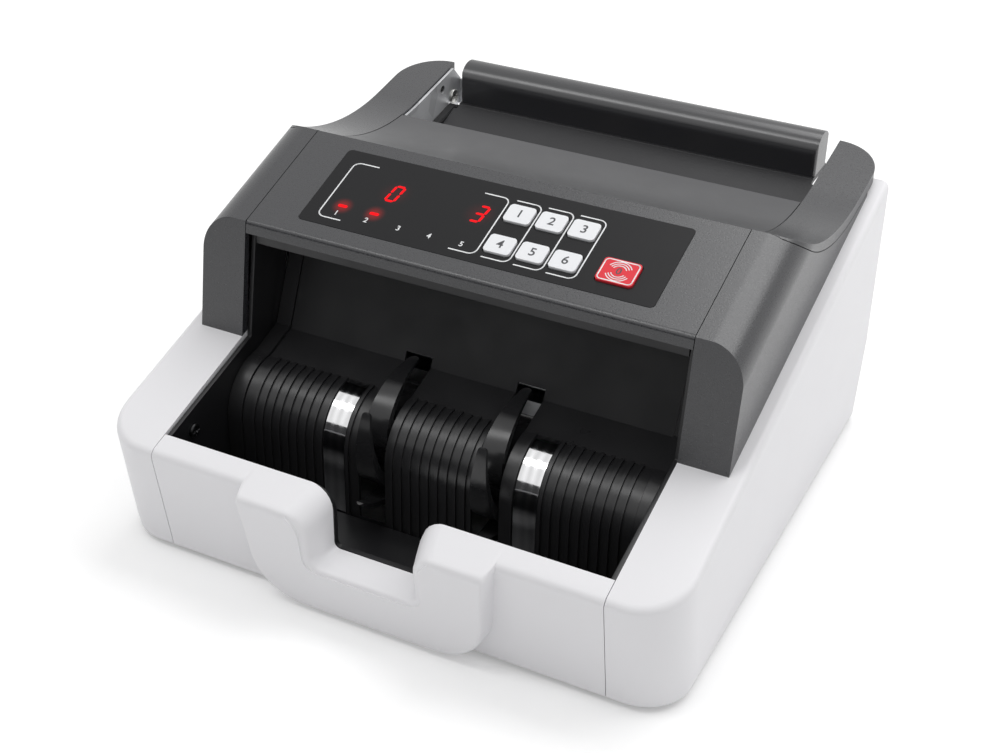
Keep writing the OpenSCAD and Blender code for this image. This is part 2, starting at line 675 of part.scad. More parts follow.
// Chassis plates, with their holes for the bushes.
module chassis_outline() {
    difference() {
        union() {
            translate(stacker_c) circle(nose_r - liner_t - 1);
            translate([stacker_c[0] - 12, base_top]) square([far / 8, stacker_h - base_top]);
            polygon([[stacker_c[0], stacker_h], [stacker_c[0] + 8, stacker_h + nose_r - liner_t - 5],
                [transport_c[0] - 26, transport_h + 14], [crest_y + 4, crest_z - 24], [ramp_y - 6, floor_h - 6],
                [back_y - wall - seam - 2, floor_h - 8], [back_y - wall - seam - 2, base_top],
                [stacker_c[0], base_top]]);
        }
        for (c = [stacker_c, feed_c, transport_c, pinch_c]) translate(c) circle(bush_r);
        translate(motor_c) circle(motor_r / 2);
    }
}
module chassis_plate() {
    color("silver") {
        along_x(chassis_x, chassis_t) chassis_outline();
        translate([chassis_x - bush_r * 2, crest_y - bush_r * 2, base_top]) cube([bush_r * 2, motor_back + 10, chassis_t]);
    }
}
module chassis_plate_right() { chassis_plate(); }
module chassis_plate_left() { mirror([1, 0, 0]) chassis_plate(); }

rod_r = 3;
rod_places = [[stacker_c[0] + nose_r + 9, base_top + 14], [crest_y - 12, stacker_h + 5.5], [back_y - 12, stacker_h + 13.5]];
module tie_rods() {
    color("silver") for (p = rod_places) along_x(-chassis_x, 2 * chassis_x) translate(p) circle(rod_r);
}

// Tray: front wall, rounded foot and floor in one bent section.
tray_floor_h = 10.5;
module tray_floor() {
    foot_r = 12;
    y0 = tray_y + seam;
    y1 = stacker_c[0] - nose_r - seam;
    color("black") difference() {
        along_x(-liner_x + seam, 2 * (liner_x - seam)) {
            translate([y0, tray_floor_h + foot_r]) square([liner_t, rim_z(y0) - 2 - tray_floor_h - foot_r]);
            translate([y0 + foot_r, tray_floor_h]) square([y1 - y0 - foot_r, liner_t]);
            intersection() {
                translate([y0, tray_floor_h]) square(foot_r);
                difference() {
                    translate([y0 + foot_r, tray_floor_h + foot_r]) circle(foot_r);
                    translate([y0 + foot_r, tray_floor_h + foot_r]) circle(foot_r - liner_t);
                }
            }
            translate([y1 - liner_t - 4, base_top]) square([liner_t, tray_floor_h - base_top + 0.5]);
        }
        translate([0, tray_y + 10, 0]) rotate([90, 0, 0]) linear_extrude(far / 2)
            polygon(notch_outline(notch_x, notch_h, rim_z(tray_y) - 2, notch_r));
    }
}

// Side liners between the tray and the casings, up behind the legs.
roof_t = 1.5;
module liner() {
    color("black") along_x(liner_x, liner_t) difference() {
        polygon([[tray_y + seam, base_top + 3], [stacker_c[0] + 26, base_top + 3], [bezel_y + 24, lip_z - 1],
            [lip_y + 4, lip_z - 1], [leg_y + 3, leg_z - 1], [tray_y + seam, rim_z(tray_y) - 1]]);
        translate(stacker_c) circle(bush_flange_r + 1);
    }
}
// Roof of the mouth: a bent plate between the liners that closes off the space under the control board.
module mouth_roof() {
    y0 = lip_y + cover_t + seam;
    color("black") along_x(-liner_x + seam, 2 * (liner_x - seam)) polygon([[y0, lip_z - 5.4], [y0 + 28, lip_z - 9],
        [y0 + 28, lip_z - 9 + roof_t], [y0 + roof_t, lip_z - 5.4 + roof_t], [y0 + roof_t, lip_z + 2], [y0, lip_z + 2]]);
}
module liner_right() { liner(); }
module liner_left() { mirror([1, 0, 0]) liner(); }

// Section of the stacker cover: upright front, round nose, guide that climbs to the panel.
guide_points = [stacker_c + [1, nose_r - liner_t / 2], stacker_c + [18, nose_r + 4], stacker_c + [33, nose_r + 38]];
module stacker_section(r, t) {
    intersection() {
        difference() {
            translate(stacker_c) circle(r);
            translate(stacker_c) circle(r - t);
        }
        translate(stacker_c + [-far, 0]) square([far + 1, far]);
    }
    translate([stacker_c[0] - r, tray_floor_h]) square([t, stacker_h - tray_floor_h]);
}
module wheel_slots(extra) {
    for (x = [-1, 1]) along_x(x * wheel_x - wheel_w / 2 - extra, wheel_w + 2 * extra)
        translate(stacker_c) circle(wheel_r + extra);
}
rib_n = floor((cover_x - 2) / rib_pitch);
function rib_clear(x) = abs(abs(x) - wheel_x) > wheel_w / 2 + 2 && abs(abs(x) - strip_x) > strip_w / 2 + 1;
module stacker_cover() {
    color("black") difference() {
        union() {
            along_x(-cover_x, 2 * cover_x) {
                stacker_section(nose_r - rib_h, liner_t - rib_h);
                strip(guide_points - [for (p = guide_points) [0, rib_h]], liner_t - rib_h);
            }
            for (i = [-rib_n:rib_n]) if (rib_clear(i * rib_pitch))
                along_x(i * rib_pitch - 0.7, 1.4) stacker_section(nose_r, rib_h + 0.2);
        }
        wheel_slots(1);
    }
}

// Smooth end piece between the ribbed cover and the liner.
module stacker_end() {
    color("black") along_x(cover_x + seam, liner_x - cover_x - 2 * seam) {
        stacker_section(nose_r, liner_t);
        strip(guide_points, liner_t);
    }
}
module stacker_end_right() { stacker_end(); }
module stacker_end_left() { mirror([1, 0, 0]) stacker_end(); }

module slide_strips() {
    color("lightgray") for (x = [-1, 1])
        along_x(x * strip_x - strip_w / 2, strip_w) stacker_section(nose_r - rib_h + 0.5, 0.5);
}

// Stacker wheel: horn-like blades whose tips trail, each thinner and narrower towards its tip, on a hub.
hub_r = 12;
blade_body_r = wheel_r - 10;
tip_deg = -30;
wrap_deg = 125;
blade_steps = 24;
root_r = hub_r - 2;
function blade_out(s) = root_r + (blade_body_r - root_r) * sin(90 * min(1, s / 0.62))
    + (wheel_r - blade_body_r) * pow(max(0, s - 0.5) * 2, 1.6);
function blade_thick(s) = 1.2 + 4.3 * (1 - s * s);
function polar(r, a) = [-r * sin(a), r * cos(a)];
blade_outline = concat(
    [for (i = [0:blade_steps]) let (s = i / blade_steps) polar(blade_out(s), wrap_deg * (1 - s) - 30)],
    [for (i = [blade_steps:-1:0]) let (s = i / blade_steps) polar(blade_out(s) - blade_thick(s), wrap_deg * (1 - s) - 30)]);
// A blade seen from above, with its tip to the back.
tip_r = 1.9;
module blade_plan() {
    tip_y = wheel_r / 2 - tip_r;
    translate([0, tip_y]) circle(tip_r);
    polygon([[-wheel_w / 2, -far / 8], [wheel_w / 2, -far / 8], [wheel_w / 2, -wheel_r / 2], [wheel_w * 0.36, 0],
        [tip_r, tip_y], [-tip_r, tip_y], [-wheel_w * 0.36, 0], [-wheel_w / 2, -wheel_r / 2]]);
}
module stacker_wheel(x) {
    color("black") difference() {
        union() {
            along_x(x - wheel_w / 2 - 1, wheel_w + 2) translate(stacker_c) circle(hub_r);
            for (k = [0:blades - 1]) translate([x, stacker_c[0], stacker_c[1]]) rotate([k * 360 / blades + tip_deg + 30, 0, 0])
                intersection() {
                    along_x(-wheel_w / 2, wheel_w) polygon(blade_outline);
                    translate([0, 0, -wheel_r]) linear_extrude(2 * wheel_r + 10) blade_plan();
                }
        }
        along_x(x - wheel_w, 2 * wheel_w) translate(stacker_c) circle(shaft_r);
    }
}
module stacker_wheel_right() { stacker_wheel(wheel_x); }
module stacker_wheel_left() { stacker_wheel(-wheel_x); }

// Drive side: belt lanes outside the left chassis plate.
lane_w = 5;
lane_pitch = 6.5;
lane_x0 = -liner_x - liner_t - 4;
function lane_x(i) = lane_x0 - i * lane_pitch - lane_w;
shaft_right = chassis_x + chassis_t + 1.5;
shaft_left = lane_x(2) - 0.5;
module plain_shaft(c, x0, x1) {
    color("lightgray") along_x(x0, x1 - x0) translate(c) circle(shaft_r);
}
module stacker_shaft() { plain_shaft(stacker_c, shaft_left, shaft_right); }
module feed_shaft() { plain_shaft(feed_c, shaft_left, shaft_right); }
module transport_shaft() { plain_shaft(transport_c, shaft_left, shaft_right + 8); }
module pinch_shaft() { plain_shaft(pinch_c, -shaft_right, shaft_right); }

module roller(c, x, w, r) {
    along_x(x - w / 2, w) translate(c) difference() {
        circle(r);
        circle(shaft_r);
    }
}
transport_x = [-60, -22, 22, 60];
module feed_rollers() { color("saddlebrown") for (x = feed_x) roller(feed_c, x, feed_w, feed_r); }
module transport_rollers() { color("dimgray") for (x = transport_x) roller(transport_c, x, 12, transport_r); }
module pinch_rollers() { color("dimgray") for (x = transport_x) roller(pinch_c, x, 12, pinch_r); }

// A belt pulley in one lane: belt seat between two flanges.
module pulley(c, i, r) {
    seat = r - belt_t - run;
    along_x(lane_x(i), lane_w) translate(c) difference() {
        circle(seat);
        circle(shaft_r);
    }
    for (x = [lane_x(i) - 0.6, lane_x(i) + lane_w]) along_x(x, 0.6) translate(c) difference() {
        circle(r + 0.8);
        circle(shaft_r);
    }
}
module stacker_pulley() { color("dimgray") pulley(stacker_c, 2, small_pulley_r); }
module feed_pulley() { color("dimgray") pulley(feed_c, 1, small_pulley_r); }
module transport_pulley() { color("dimgray") for (i = [0:2]) pulley(transport_c, i, transport_pulley_r); }
motor_nose = 8;
module motor_pulley() {
    color("dimgray") pulley(motor_c, 0, motor_pulley_r);
    color("lightgray") along_x(lane_x(0) - 0.6, motor_nose - 1 - chassis_x - lane_x(0)) translate(motor_c) circle(shaft_r);
}

// A belt's outline round two pulleys of radius ra at a and rb at b.
belt_steps = 24;
function belt_outline(a, ra, b, rb) = let (d = b - a, ang = atan2(d[1], d[0]), off = acos((ra - rb) / norm(d))) concat(
    [for (i = [0:belt_steps]) let (t = ang + off + (360 - 2 * off) * i / belt_steps) a + ra * [cos(t), sin(t)]],
    [for (i = [0:belt_steps]) let (t = ang - off + 2 * off * i / belt_steps) b + rb * [cos(t), sin(t)]]);
module belt(i, a, ra, b, rb) {
    along_x(lane_x(i) + run, lane_w - 2 * run) difference() {
        polygon(belt_outline(a, ra, b, rb));
        polygon(belt_outline(a, ra - belt_t, b, rb - belt_t));
    }
}
module drive_belts() {
    color("black") {
        belt(0, motor_c, motor_pulley_r, transport_c, transport_pulley_r);
        belt(1, feed_c, small_pulley_r, transport_c, transport_pulley_r);
        belt(2, stacker_c, small_pulley_r, transport_c, transport_pulley_r);
    }
}

// Slotted counting disc on the right end of the transport shaft.
disc_r = 17;
module encoder_disc() {
    color("black") along_x(shaft_right + 4, 1) translate(transport_c) difference() {
        circle(disc_r);
        circle(shaft_r);
        for (i = [0:23]) rotate(i * 15) translate([disc_r - 5, -0.8]) square([4, 1.6]);
    }
}

// Flanged bushes pressed into the chassis plates.
module bush(c, side) {
    x0 = side > 0 ? chassis_x : -chassis_x - chassis_t;
    flange = side > 0 ? chassis_x + chassis_t : -chassis_x - chassis_t - 1;
    along_x(x0, chassis_t) translate(c) difference() {
        circle(bush_r);
        circle(shaft_r + shaft_play);
    }
    along_x(flange, 1) translate(c) difference() {
        circle(bush_flange_r);
        circle(shaft_r + shaft_play);
    }
}
module shaft_bearings() {
    color("peru") for (c = [stacker_c, feed_c, transport_c, pinch_c], side = [-1, 1]) bush(c, side);
}

// Rubber pads on the ramp's back wall that hold back the second note.
module retard_pads() {
    color("darkred") for (x = feed_x) translate([x - feed_w / 2, ramp_y, floor_h - 13]) cube([feed_w, 3, 12]);
}

module main_motor() {
    len = 62;
    color("silver") {
        along_x(-chassis_x, motor_nose) translate(motor_c) difference() {
            circle(motor_r);
            circle(shaft_r + shaft_play);
        }
        along_x(-chassis_x + motor_nose - 0.01, len - motor_nose) translate(motor_c) circle(motor_r - 0.5);
        along_x(-chassis_x + len - 1, 7) translate(motor_c) circle(motor_r / 2);
    }
}

module power_board() {
    x0 = 4;
    w = chassis_x - 12 - x0;
    l = motor_back + 10;
    y0 = transport_c[0] + transport_r / 2 - 2;
    color("darkgreen") {
        for (x = [x0 + 5, x0 + w - 5], y = [y0 + 5, y0 + l - 5]) translate([x, y, base_top]) cylinder(r = 2.5, h = 5);
        translate([x0, y0, base_top + 5]) cube([w, l, board_t]);
        translate([x0 + 30, y0 + 8, base_top + 5 + board_t]) cube([28, 24, 20]);
        for (y = [y0 + 14, y0 + 40]) translate([x0 + 14, y, base_top + 5 + board_t]) cylinder(r = 6, h = 18);
    }
}

// Mains inlet: shell through the back panel with a flange outside, three blades in its well.
module mains_inlet() {
    color("black") translate([inlet_c[0], back_y, inlet_c[1]]) {
        difference() {
            union() {
                translate([0, -7, 0]) cube([inlet_w - seam, 14, inlet_h - seam], center = true);
                translate([0, 1, 0]) cube([inlet_w + 6, 2, inlet_h + 6], center = true);
            }
            translate([0, 4, 0]) cube([inlet_w - 4.5, 26, inlet_h - 4.5], center = true);
        }
        for (x = [-6, 0, 6]) translate([x, -8, x == 0 ? 3 : -2]) cube([2, 12, 4], center = true);
    }
}

// Switch: a rocker on a pin in a box behind the back panel.
rocker_axis_y = back_y - 5;
pin_r = 1.5;
switch_wall = 2.5;
rocker_deg = 8;
module switch_body() {
    w = rocker_w + 2 * run;
    h = rocker_h + 2 * run;
    color("black") difference() {
        translate([rocker_c[0], back_y - wall - 7, rocker_c[1]])
            cube([w + 2 * switch_wall, 14, h + 2 * switch_wall], center = true);
        translate([rocker_c[0], back_y - wall - 4, rocker_c[1]]) cube([w, 13, h], center = true);
        along_x(rocker_c[0] - w / 2 - switch_wall + 0.5, w + 2 * switch_wall - 1)
            translate([rocker_axis_y, rocker_c[1]]) circle(pin_r + shaft_play);
    }
}
module power_rocker() {
    color("black") translate([rocker_c[0], rocker_axis_y, rocker_c[1]]) rotate([90, 0, 90]) rotate(-rocker_deg) {
        linear_extrude(rocker_w, center = true) difference() {
            intersection() {
                circle(rocker_h / 2 - run);
                translate([-2, -rocker_h / 2]) square([far, rocker_h]);
            }
            translate([21, 0]) circle(15);
        }
        cylinder(r = pin_r, h = rocker_w + 2 * run + 2 * switch_wall - 1.4, center = true);
    }
}

// Fork that reads the counting disc from below, on a foot against the right chassis plate.
module count_sensor() {
    x0 = chassis_x + chassis_t;
    color("black") translate([x0, transport_c[0] - 5, transport_h - disc_r - 6]) {
        cube([3, 10, 10]);
        cube([10, 10, 4]);
        translate([8, 0, 0]) cube([2, 10, 10]);
    }
}

// Screws through the base plate into the casings' posts.
module casing_screws() {
    color("gray") both_sides() for (y = screw_ys) translate([screw_x, y, 0]) {
        translate([0, 0, foot_h - 1.4]) cylinder(r = 3, h = 1.4);
        translate([0, 0, foot_h - 1]) cylinder(r = 1.5, h = base_t + 11);
    }
}

base_plate();
rubber_feet();
side_casing_left();
side_casing_right();
front_panel();
rear_panel();
shoulder_left();
shoulder_right();
control_cover();
display_overlay();
hopper_ramp();
hopper_arm_left();
hopper_arm_right();
hopper_floor();
hopper_back_bar();
hopper_bracket();
chassis_plate_left();
chassis_plate_right();
tie_rods();
tray_floor();
liner_left();
liner_right();
mouth_roof();
stacker_cover();
stacker_end_left();
stacker_end_right();
slide_strips();
stacker_shaft();
stacker_wheel_left();
stacker_wheel_right();
stacker_pulley();
feed_shaft();
feed_rollers();
feed_pulley();
transport_shaft();
transport_rollers();
transport_pulley();
encoder_disc();
pinch_shaft();
pinch_rollers();
retard_pads();
shaft_bearings();
main_motor();
motor_pulley();
drive_belts();
control_board();
digit_display();
key_1();
key_2();
key_3();
key_4();
key_5();
key_6();
key_red();
power_board();
mains_inlet();
switch_body();
power_rocker();
count_sensor();
casing_screws();
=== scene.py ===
import math

import bmesh
import bpy
from mathutils import Matrix, Vector


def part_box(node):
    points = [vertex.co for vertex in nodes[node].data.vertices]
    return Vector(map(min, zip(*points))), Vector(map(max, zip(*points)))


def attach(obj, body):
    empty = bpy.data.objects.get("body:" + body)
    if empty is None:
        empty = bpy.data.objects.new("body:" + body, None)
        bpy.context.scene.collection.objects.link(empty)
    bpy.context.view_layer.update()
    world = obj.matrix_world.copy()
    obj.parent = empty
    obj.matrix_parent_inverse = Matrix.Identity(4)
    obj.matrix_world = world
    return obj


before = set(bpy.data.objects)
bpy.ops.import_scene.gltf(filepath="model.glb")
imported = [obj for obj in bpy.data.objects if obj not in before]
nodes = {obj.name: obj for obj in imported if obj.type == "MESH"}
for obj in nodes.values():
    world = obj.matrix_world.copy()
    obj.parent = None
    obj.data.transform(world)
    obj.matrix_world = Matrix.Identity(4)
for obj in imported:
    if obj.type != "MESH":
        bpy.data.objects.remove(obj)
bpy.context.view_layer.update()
MM = 0.001


# Base plate: one sheet of galvanised steel that everything is bolted to.
# Zinc crystals give it patches of slightly different grey.
def new_finish(name):
    finish = bpy.data.materials.new(name)
    finish.use_nodes = True
    tree = finish.node_tree
    shader = tree.nodes["Principled BSDF"]
    place = tree.nodes.new("ShaderNodeTexCoord").outputs["Object"]
    return finish, tree, shader, place


def speckle(tree, place, per_metre, detail=2.0):
    noise = tree.nodes.new("ShaderNodeTexNoise")
    noise.inputs["Scale"].default_value = per_metre
    noise.inputs["Detail"].default_value = detail
    tree.links.new(place, noise.inputs["Vector"])
    return noise.outputs["Fac"]


def between(tree, value, low, high):
    spread = tree.nodes.new("ShaderNodeMapRange")
    spread.inputs["From Min"].default_value = 0.15
    spread.inputs["From Max"].default_value = 0.85
    spread.inputs["To Min"].default_value = low
    spread.inputs["To Max"].default_value = high
    tree.links.new(value, spread.inputs["Value"])
    return spread.outputs["Result"]


def two_tone(tree, value, first, second):
    mix = tree.nodes.new("ShaderNodeMix")
    mix.data_type = "RGBA"
    mix.inputs["A"].default_value = (*first, 1)
    mix.inputs["B"].default_value = (*second, 1)
    tree.links.new(value, mix.inputs["Factor"])
    return mix.outputs["Result"]


def raised(tree, shader, height, depth_mm, strength=1.0):
    bump = tree.nodes.new("ShaderNodeBump")
    bump.inputs["Strength"].default_value = strength
    bump.inputs["Distance"].default_value = depth_mm * MM
    tree.links.new(height, bump.inputs["Height"])
    tree.links.new(bump.outputs["Normal"], shader.inputs["Normal"])


def feed(tree, value, shader, socket):
    tree.links.new(value, shader.inputs[socket])


def galvanised(name, colour, crystal_mm, metal=1.0):
    finish, tree, shader, place = new_finish(name)
    crystals = tree.nodes.new("ShaderNodeTexVoronoi")
    crystals.inputs["Scale"].default_value = 1 / (crystal_mm * MM)
    tree.links.new(place, crystals.inputs["Vector"])
    shade = tree.nodes.new("ShaderNodeSeparateColor")
    tree.links.new(crystals.outputs["Color"], shade.inputs["Color"])
    darker = [0.75 * c for c in colour]
    feed(tree, two_tone(tree, shade.outputs["Red"], darker, colour), shader, "Base Color")
    feed(tree, between(tree, shade.outputs["Green"], 0.32, 0.48), shader, "Roughness")
    shader.inputs["Metallic"].default_value = metal
    raised(tree, shader, speckle(tree, place, 900), 0.02)
    return finish


def smooth_by_angle(limit_deg):
    group = bpy.data.node_groups.new("smooth_below_%d_degrees" % limit_deg, "GeometryNodeTree")
    group.interface.new_socket("Geometry", in_out="INPUT", socket_type="NodeSocketGeometry")
    group.interface.new_socket("Geometry", in_out="OUTPUT", socket_type="NodeSocketGeometry")
    start = group.nodes.new("NodeGroupInput")
    end = group.nodes.new("NodeGroupOutput")
    angle = group.nodes.new("GeometryNodeInputMeshEdgeAngle")
    sharp = group.nodes.new("FunctionNodeCompare")
    sharp.operation = "GREATER_THAN"
    sharp.inputs[1].default_value = math.radians(limit_deg)
    all_smooth = group.nodes.new("GeometryNodeSetShadeSmooth")
    keep_sharp = group.nodes.new("GeometryNodeSetShadeSmooth")
    keep_sharp.domain = "EDGE"
    keep_sharp.inputs["Shade Smooth"].default_value = False
    links = group.links
    links.new(start.outputs[0], all_smooth.inputs["Geometry"])
    links.new(all_smooth.outputs["Geometry"], keep_sharp.inputs["Geometry"])
    links.new(angle.outputs["Unsigned Angle"], sharp.inputs[0])
    links.new(sharp.outputs["Result"], keep_sharp.inputs["Selection"])
    links.new(keep_sharp.outputs["Geometry"], end.inputs[0])
    return group


SMOOTH_BELOW_DEG = 38
WELD_GAP = 1e-6
moulded_edges = smooth_by_angle(SMOOTH_BELOW_DEG)


def smooth_shaded(piece):
    piece.modifiers.new("shading", "NODES").node_group = moulded_edges


def dress(name, finish, edge_mm=0.0):
    piece = nodes[name]
    piece.data.materials.clear()
    piece.data.materials.append(finish)
    weld = piece.modifiers.new("joined faces", "WELD")
    weld.merge_threshold = WELD_GAP
    if edge_mm:
        edge = piece.modifiers.new("broken edges", "BEVEL")
        edge.width = edge_mm * MM
        edge.segments = 2
        edge.limit_method = "ANGLE"
        edge.angle_limit = math.radians(SMOOTH_BELOW_DEG)
        edge.use_clamp_overlap = True
    smooth_shaded(piece)
    if edge_mm:
        flats = piece.modifiers.new("flat faces", "WEIGHTED_NORMAL")
        flats.keep_sharp = True


sheet_steel = galvanised("galvanised sheet", (0.56, 0.57, 0.58), 9)
dress("base_plate", sheet_steel)


# Feet: four black rubber studs pushed through the base plate.
# Rubber is dull and a little dusty, with a fine pitted skin.
def matt_rubber(name, colour, rough):
    finish, tree, shader, place = new_finish(name)
    paler = [1.5 * c + 0.004 for c in colour]
    feed(tree, two_tone(tree, speckle(tree, place, 140, 5), colour, paler), shader, "Base Color")
    dust = speckle(tree, place, 300)
    feed(tree, between(tree, dust, rough - 0.08, rough + 0.08), shader, "Roughness")
    shader.inputs["Specular IOR Level"].default_value = 0.3
    raised(tree, shader, speckle(tree, place, 3000), 0.03)
    return finish


black_rubber = matt_rubber("black rubber", (0.018, 0.018, 0.019), 0.75)
dress("rubber_feet", black_rubber, 0.3)


# Chassis: two punched steel plates held apart by tie rods, with sintered bronze bushes.
# All of it sits inside the casing and shows only through gaps and vents.
dress("chassis_plate_left", sheet_steel)
dress("chassis_plate_right", sheet_steel)


def turned_metal(name, colour, rough, marks_mm):
    finish, tree, shader, place = new_finish(name)
    rings = tree.nodes.new("ShaderNodeTexWave")
    rings.bands_direction = "X"
    rings.inputs["Scale"].default_value = 1 / (marks_mm * MM * 20)
    rings.inputs["Distortion"].default_value = 2.0
    rings.inputs["Detail"].default_value = 3.0
    tree.links.new(place, rings.inputs["Vector"])
    darker = [0.82 * c for c in colour]
    feed(tree, two_tone(tree, rings.outputs["Fac"], darker, colour), shader, "Base Color")
    feed(tree, between(tree, rings.outputs["Fac"], rough * 0.8, rough * 1.3), shader, "Roughness")
    shader.inputs["Metallic"].default_value = 1.0
    raised(tree, shader, rings.outputs["Fac"], 0.004)
    return finish


ground_steel = turned_metal("ground steel", (0.72, 0.72, 0.73), 0.18, 0.3)
blued_steel = turned_metal("blackened rod steel", (0.09, 0.09, 0.1), 0.35, 0.4)
bronze = turned_metal("sintered bronze", (0.46, 0.29, 0.12), 0.42, 0.5)
dress("tie_rods", blued_steel)
dress("shaft_bearings", bronze, 0.15)


# Drive: shafts, rollers, pulleys, belts, counting disc and the motor that turns them.
# Rollers are rubber on steel, pulleys and disc are moulded plastic, belts black rubber.
def moulded(name, colour, rough, grain_mm, grain_depth_mm, cloud=0.06):
    finish, tree, shader, place = new_finish(name)
    darker = [c * (1 - cloud) for c in colour]
    paler = [min(1.0, c * (1 + cloud)) for c in colour]
    feed(tree, two_tone(tree, speckle(tree, place, 22, 4), darker, paler), shader, "Base Color")
    wear = speckle(tree, place, 70, 3)
    feed(tree, between(tree, wear, rough - 0.04, rough + 0.05), shader, "Roughness")
    raised(tree, shader, speckle(tree, place, 1 / (grain_mm * MM), 1), grain_depth_mm)
    return finish


roller_rubber = matt_rubber("roller rubber", (0.06, 0.05, 0.045), 0.7)
pulley_plastic = moulded("pulley plastic", (0.05, 0.05, 0.052), 0.5, 0.5, 0.01)
disc_plastic = moulded("counting disc plastic", (0.012, 0.012, 0.013), 0.35, 0.4, 0.005)
motor_can = galvanised("plated motor can", (0.5, 0.51, 0.52), 3)
for name in ("stacker_shaft", "feed_shaft", "transport_shaft", "pinch_shaft"):
    dress(name, ground_steel, 0.3)
for name in ("feed_rollers", "transport_rollers", "pinch_rollers", "retard_pads"):
    dress(name, roller_rubber, 0.4)
for name in ("stacker_pulley", "feed_pulley", "transport_pulley", "motor_pulley"):
    dress(name, pulley_plastic, 0.15)
dress("drive_belts", black_rubber)
dress("encoder_disc", disc_plastic)
dress("count_sensor", disc_plastic, 0.3)
dress("main_motor", motor_can, 0.6)


# Circuit boards: green lacquered boards with copper tracks showing through the lacquer.
# The control board hangs under the panel, the power board stands on the base plate.
def lacquered_board(name):
    finish, tree, shader, place = new_finish(name)
    tracks = tree.nodes.new("ShaderNodeTexBrick")
    tracks.inputs["Scale"].default_value = 160
    tracks.inputs["Mortar Size"].default_value = 0.03
    tracks.inputs["Color1"].default_value = (0.012, 0.11, 0.045, 1)
    tracks.inputs["Color2"].default_value = (0.014, 0.13, 0.05, 1)
    tracks.inputs["Mortar"].default_value = (0.05, 0.24, 0.08, 1)
    tree.links.new(place, tracks.inputs["Vector"])
    feed(tree, tracks.outputs["Color"], shader, "Base Color")
    feed(tree, between(tree, speckle(tree, place, 120), 0.25, 0.4), shader, "Roughness")
    raised(tree, shader, tracks.outputs["Fac"], 0.03)
    return finish


green_board = lacquered_board("green circuit board")
dress("control_board", green_board)
dress("power_board", green_board)


# Tray: black moulded floor with a rounded foot, side liners behind the legs, and the mouth's roof.
# Half gloss plastic with faint scuffs where paper slides; black screws hold the liners.
def scuffed_gloss(name, colour, rough):
    finish, tree, shader, place = new_finish(name)
    paler = [1.4 * c + 0.002 for c in colour]
    feed(tree, two_tone(tree, speckle(tree, place, 18, 6), colour, paler), shader, "Base Color")
    scuffs = speckle(tree, place, 55, 3)
    feed(tree, between(tree, scuffs, rough - 0.06, rough + 0.1), shader, "Roughness")
    raised(tree, shader, speckle(tree, place, 1400, 1), 0.006)
    return finish


tray_black = scuffed_gloss("black tray plastic", (0.007, 0.007, 0.008), 0.38)
stacker_black = scuffed_gloss("black stacker plastic", (0.014, 0.014, 0.015), 0.3)
dress("tray_floor", tray_black, 0.4)
dress("liner_left", tray_black, 0.4)
dress("liner_right", tray_black, 0.4)
dress("mouth_roof", tray_black, 0.4)


SCREW_SIDES = 48
CROSS_FLOOR = 0.45
CROSS_REACH = 0.6
CROSS_HALF = 0.13


def add_piece(name, mesh, finish, body):
    piece = bpy.data.objects.new(name, mesh)
    bpy.context.scene.collection.objects.link(piece)
    mesh.materials.append(finish)
    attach(piece, body)
    return piece


def cross_screw(name, place, outward, radius, finish):
    bm = bmesh.new()
    dome = [(0.18 * k, 1.0 - 0.35 * (0.18 * k) ** 2) for k in range(1, 6)]
    rim = [(0.97, 0.55), (1.0, 0.4), (1.0, 0.0)]
    top = bm.verts.new((0, 0, CROSS_FLOOR))
    rows = []
    for reach, rise in dome + rim:
        row = []
        for i in range(SCREW_SIDES):
            turn = 2 * math.pi * i / SCREW_SIDES
            x, y = reach * math.cos(turn), reach * math.sin(turn)
            in_cross = reach < CROSS_REACH and min(abs(x), abs(y)) < CROSS_HALF
            row.append(bm.verts.new((x, y, CROSS_FLOOR if in_cross else rise)))
        rows.append(row)
    for i in range(SCREW_SIDES):
        k = (i + 1) % SCREW_SIDES
        bm.faces.new((top, rows[0][i], rows[0][k]))
        for inner, outer in zip(rows, rows[1:]):
            bm.faces.new((inner[i], outer[i], outer[k], inner[k]))
    bm.faces.new(rows[-1][::-1])
    mesh = bpy.data.meshes.new(name)
    bm.to_mesh(mesh)
    bm.free()
    turn_out = Vector((0, 0, 1)).rotation_difference(Vector(outward)).to_matrix().to_4x4()
    flat = Matrix.Diagonal((radius * MM, radius * MM, 0.5 * radius * MM, 1))
    mesh.transform(Matrix.Translation(Vector(place) * MM) @ turn_out @ flat)
    smooth_shaded(add_piece(name, mesh, finish, "casing"))


liner_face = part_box("liner_left")[1].x / MM
black_screw = turned_metal("blackened screw steel", (0.05, 0.05, 0.052), 0.3, 0.3)
LINER_SCREW_R = 3.0
LINER_SCREW_Y = -99.9
LINER_SCREW_Z = 48.5
for side, facing in (("left", 1), ("right", -1)):
    screw_at = (facing * liner_face, LINER_SCREW_Y, LINER_SCREW_Z)
    cross_screw("liner_screw_" + side, screw_at, (facing, 0, 0), LINER_SCREW_R, black_screw)


# Stacker: ribbed round cover, its two smooth ends and two wheels with curved blades.
# The strips beside the wheels are polished spring steel that paper slides over.
wheel_black = scuffed_gloss("black wheel plastic", (0.013, 0.013, 0.014), 0.2)
strip_steel = turned_metal("polished strip steel", (0.86, 0.86, 0.87), 0.1, 0.6)
dress("stacker_cover", stacker_black, 0.2)
dress("stacker_end_left", stacker_black, 0.4)
dress("stacker_end_right", stacker_black, 0.4)
dress("stacker_wheel_left", wheel_black, 0.5)
dress("stacker_wheel_right", wheel_black, 0.5)
dress("slide_strips", strip_steel)


